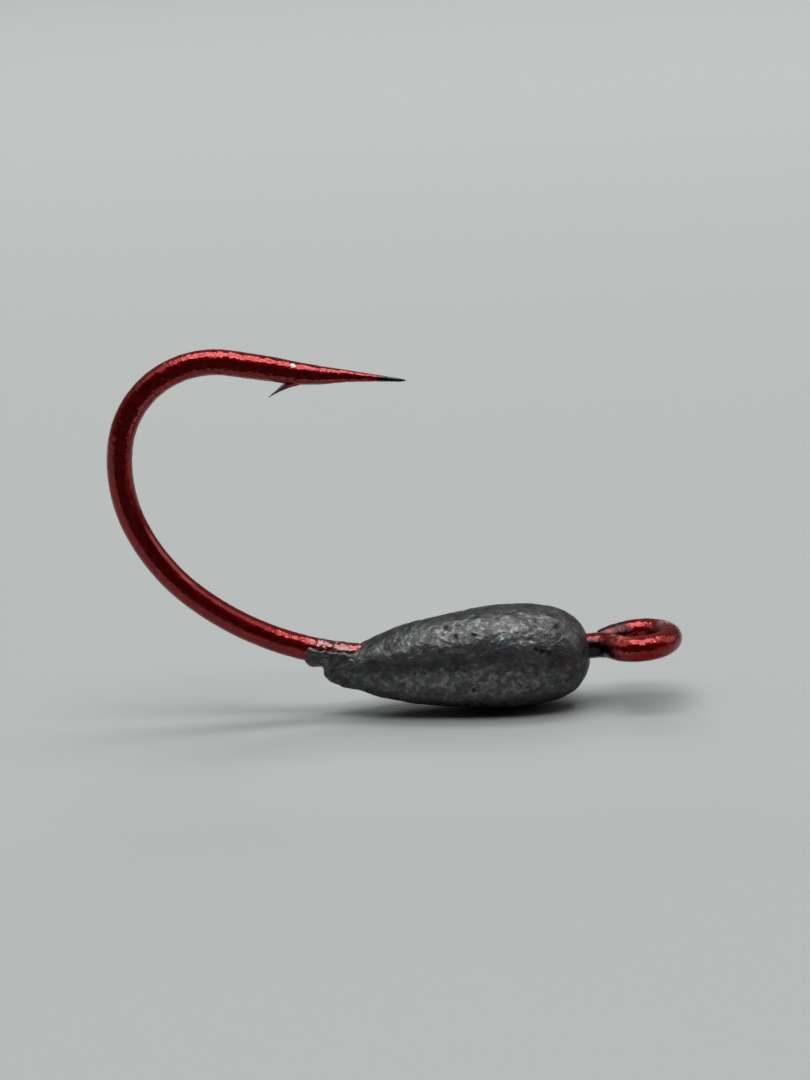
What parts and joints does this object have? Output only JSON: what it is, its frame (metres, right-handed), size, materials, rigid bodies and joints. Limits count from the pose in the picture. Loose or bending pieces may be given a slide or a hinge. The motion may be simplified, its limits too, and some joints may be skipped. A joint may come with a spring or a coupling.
{
  "type": "jig head",
  "caption": "Round-bend fishing hook with a barbed point and a line eye, and a lead teardrop weight cast round its shank.",
  "frame": {"origin": "centre of the line eye's hole", "axes": "+X along the shank towards the eye, +Y across the plane of the bend, +Z from the shank towards the point; the eye's hole runs nearly along Z"},
  "size_m": [0.0343, 0.0064, 0.0232],
  "materials": {
    "red_lacquered_wire": "glossy transparent red lacquer over bright steel wire, black where it is thin at the point, the barb and the neck",
    "cast_lead": "bare cast lead, dull dark grey, with a rough grainy skin and small pits"
  },
  "bodies": {
    "root": {"hook": "red_lacquered_wire", "lead_weight": "cast_lead"}
  },
  "joints": []
}
